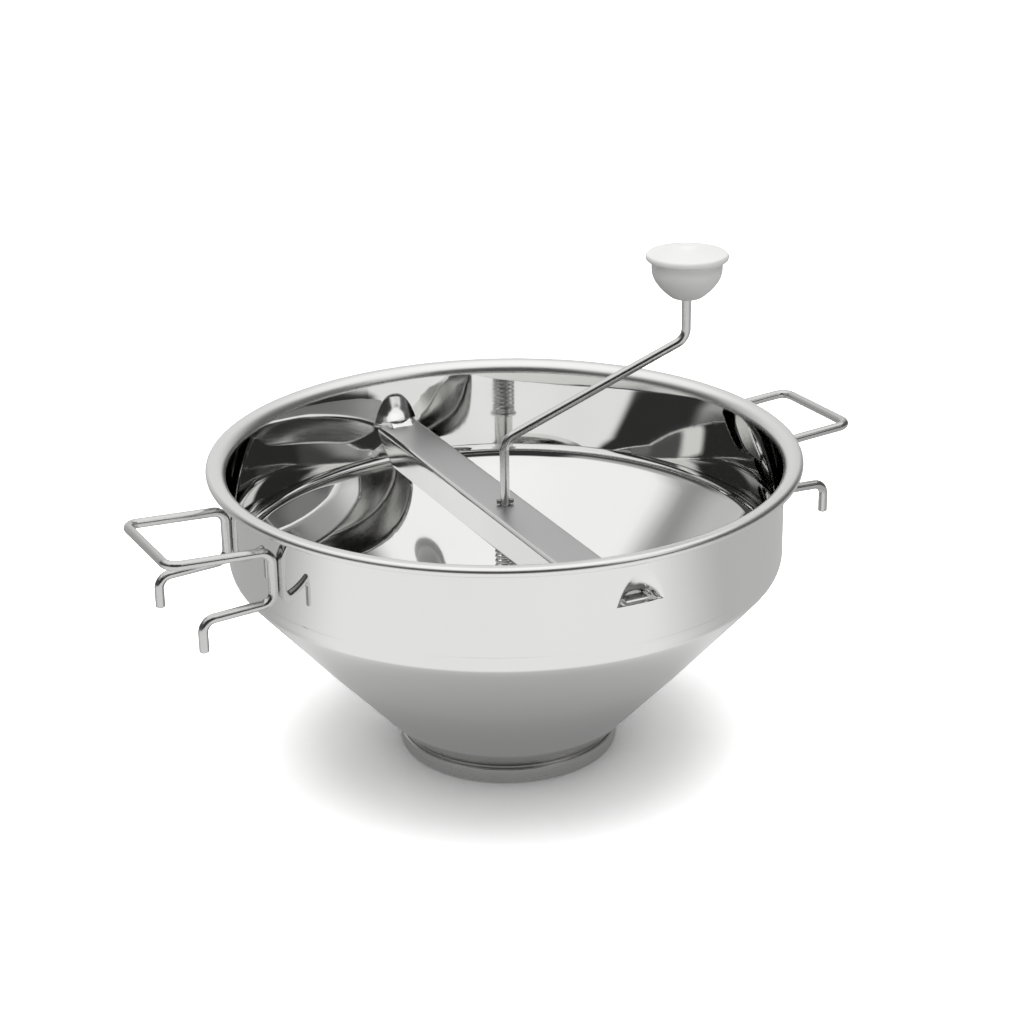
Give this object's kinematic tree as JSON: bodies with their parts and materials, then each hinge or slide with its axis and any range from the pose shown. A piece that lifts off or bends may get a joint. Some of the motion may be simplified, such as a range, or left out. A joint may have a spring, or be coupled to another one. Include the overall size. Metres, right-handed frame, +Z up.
{
  "type": "tomato strainer with crank",
  "caption": "Polished steel funnel food mill: crank-driven blade over a sieve, sprung crossbar and wire pot hooks.",
  "frame": {"origin": "centre of the foot ring's underside, on the crank shaft's axis", "axes": "+Z up along the crank shaft; +X towards the right-hand wire handle; the crossbar lies along Y, turned by about two degrees"},
  "size_m": [0.4004, 0.31, 0.2693],
  "materials": {
    "polished_steel": "mirror polished stainless steel",
    "wire_steel": "polished steel rod",
    "satin_steel": "satin stainless steel",
    "white_plastic": "white moulded plastic, semi-gloss"
  },
  "bodies": {
    "bowl": {"bowl": "polished_steel", "foot_ring": "polished_steel", "handle_right": "wire_steel", "handle_left": "wire_steel", "sieve_disc": "satin_steel", "sieve_bushing": "satin_steel"},
    "crossbar": {"crossbar": "polished_steel", "spring_washer": "satin_steel"},
    "crank": {"crank_rod": "wire_steel", "bar_pin": "satin_steel", "blade_sleeve": "satin_steel", "drive_pin": "satin_steel", "blade": "satin_steel", "spring": "satin_steel", "spring_seat": "satin_steel", "knob_retainer": "satin_steel"},
    "knob": {"knob_body": "white_plastic", "knob_cap": "white_plastic"}
  },
  "joints": [
    {"name": "crank_turn", "type": "hinge", "parent": "bowl", "child": "crank", "pos_m": [0, 0, 0.1], "axis": [0, 0, 1], "continuous": true},
    {"name": "crossbar_press", "type": "slide", "parent": "bowl", "child": "crossbar", "axis": [0, 0, -1], "range_m": [0, 0.012], "stiffness_N_per_m": 900, "springref_m": -0.03, "deforming": ["spring"]},
    {"name": "knob_spin", "type": "hinge", "parent": "crank", "child": "knob", "pos_m": [0.08993, -0.03273, 0.25], "axis": [0, 0, 1], "continuous": true}
  ]
}
